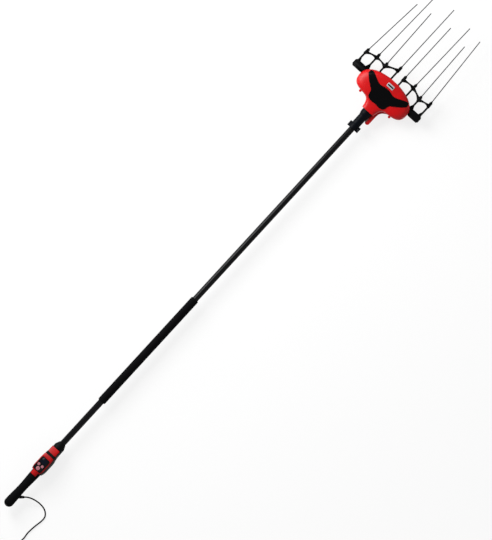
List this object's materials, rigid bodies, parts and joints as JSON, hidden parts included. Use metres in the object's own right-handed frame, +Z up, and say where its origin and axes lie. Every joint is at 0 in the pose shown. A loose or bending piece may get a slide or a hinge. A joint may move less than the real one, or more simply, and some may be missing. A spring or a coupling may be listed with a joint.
{
  "type": "electric olive harvester",
  "caption": "Long-handled electric olive harvester: a pole with a control handle and supply lead at one end and a red head with two counter-swinging rakes of thin tines at the other.",
  "frame": {"origin": "on the floor under the middle of the tool's length and width, without its lead", "axes": "+Y along the pole towards the tines, +X to the tool's right, +Z up; the tool lies on its flat belly and its handle's keel"},
  "size_m": [0.4091, 2.9228, 0.2801],
  "materials": {
    "red_casing": "moulded, glossy",
    "black_gloss": "moulded, glossy",
    "black_plastic": "moulded, fine grain",
    "neck_plastic": "moulded, glass filled",
    "pole_coat": "black anodised, glossy",
    "soft_grip": "soft foam, matte",
    "rubber": "matte",
    "button_rubber": "satin",
    "window": "clear over a dark display",
    "steel": "ground",
    "dark_steel": "black oxide",
    "aluminium": "die cast",
    "bronze": "sintered",
    "carbon_rod": "pultruded carbon fibre",
    "motor_can": "satin",
    "board": "solder mask",
    "lead_jacket": "satin",
    "strap": "woven"
  },
  "bodies": {
    "tool": {"head_upper_casing": "red_casing", "head_lower_casing": "red_casing", "head_trim": "black_gloss", "casing_screws": "dark_steel", "gear_frame": "aluminium", "rake_axle": "steel", "crank_bearings": "steel", "drive_motor": "motor_can", "motor_screws": "dark_steel", "head_socket": "neck_plastic", "clamp_collar": "black_plastic", "clamp_screw": "dark_steel", "clamp_nut": "dark_steel", "pole_tube": "pole_coat", "mid_grip": "soft_grip", "inner_cable": "lead_jacket", "rear_grip": "soft_grip", "handle_lower_shell": "black_plastic", "handle_upper_shell": "red_casing", "seal_band": "rubber", "front_ferrule": "black_plastic", "control_panel": "black_plastic", "display_window": "window", "button_pad": "rubber", "circuit_board": "board", "handle_screws": "dark_steel", "cable_gland": "rubber", "power_cord": "lead_jacket", "cord_coil": "lead_jacket", "coil_tie": "strap", "cord_plug": "black_plastic"},
    "left_rake": {"rake_left": "black_plastic", "yoke_left": "steel", "rake_bushes_left": "bronze", "tine_grommets_left": "rubber", "tine_left_1": "carbon_rod", "tine_left_2": "carbon_rod", "tine_left_3": "carbon_rod", "tine_left_4": "carbon_rod"},
    "right_rake": {"rake_right": "black_plastic", "yoke_right": "steel", "rake_bushes_right": "bronze", "tine_grommets_right": "rubber", "tine_right_1": "carbon_rod", "tine_right_2": "carbon_rod", "tine_right_3": "carbon_rod", "tine_right_4": "carbon_rod"},
    "crank": {"crankshaft": "steel", "crank_gear": "steel", "crank_rollers": "steel"},
    "pinion": {"motor_pinion": "steel"},
    "power_button": {"power_button": "button_rubber"},
    "speed_up_button": {"speed_up_button": "button_rubber"},
    "speed_down_button": {"speed_down_button": "button_rubber"}
  },
  "joints": [
    {"name": "rake_right_swing", "type": "hinge", "parent": "tool", "child": "right_rake", "pos_m": [0, 0.93663, 0.045], "axis": [1, 0, 0], "range_deg": [-8, 8]},
    {"name": "rake_left_swing", "type": "hinge", "parent": "tool", "child": "left_rake", "pos_m": [0, 0.93663, 0.045], "axis": [1, 0, 0], "range_deg": [-8, 8]},
    {"name": "crank_turn", "type": "hinge", "parent": "tool", "child": "crank", "pos_m": [0, 0.90863, 0.045], "axis": [1, 0, 0], "range_deg": [-90, 90]},
    {"name": "pinion_turn", "type": "hinge", "parent": "tool", "child": "pinion", "pos_m": [0, 0.89429, 0.02452], "axis": [1, 0, 0], "range_deg": [-285, 285]},
    {"name": "power_press", "type": "slide", "parent": "tool", "child": "power_button", "axis": [0.2419, 0, -0.9703], "range_m": [0, 0.001], "stiffness_N_per_m": 1500, "springref_m": -0.0005},
    {"name": "speed_up_press", "type": "slide", "parent": "tool", "child": "speed_up_button", "axis": [0.2419, 0, -0.9703], "range_m": [0, 0.001], "stiffness_N_per_m": 1500, "springref_m": -0.0005},
    {"name": "speed_down_press", "type": "slide", "parent": "tool", "child": "speed_down_button", "axis": [0.2419, 0, -0.9703], "range_m": [0, 0.001], "stiffness_N_per_m": 1500, "springref_m": -0.0005}
  ],
  "couplings": [
    {"joint": "rake_right_swing", "follows": "crank_turn", "ratio": 0.088889},
    {"joint": "rake_left_swing", "follows": "crank_turn", "ratio": -0.088889},
    {"joint": "pinion_turn", "follows": "crank_turn", "ratio": -3.1667}
  ]
}
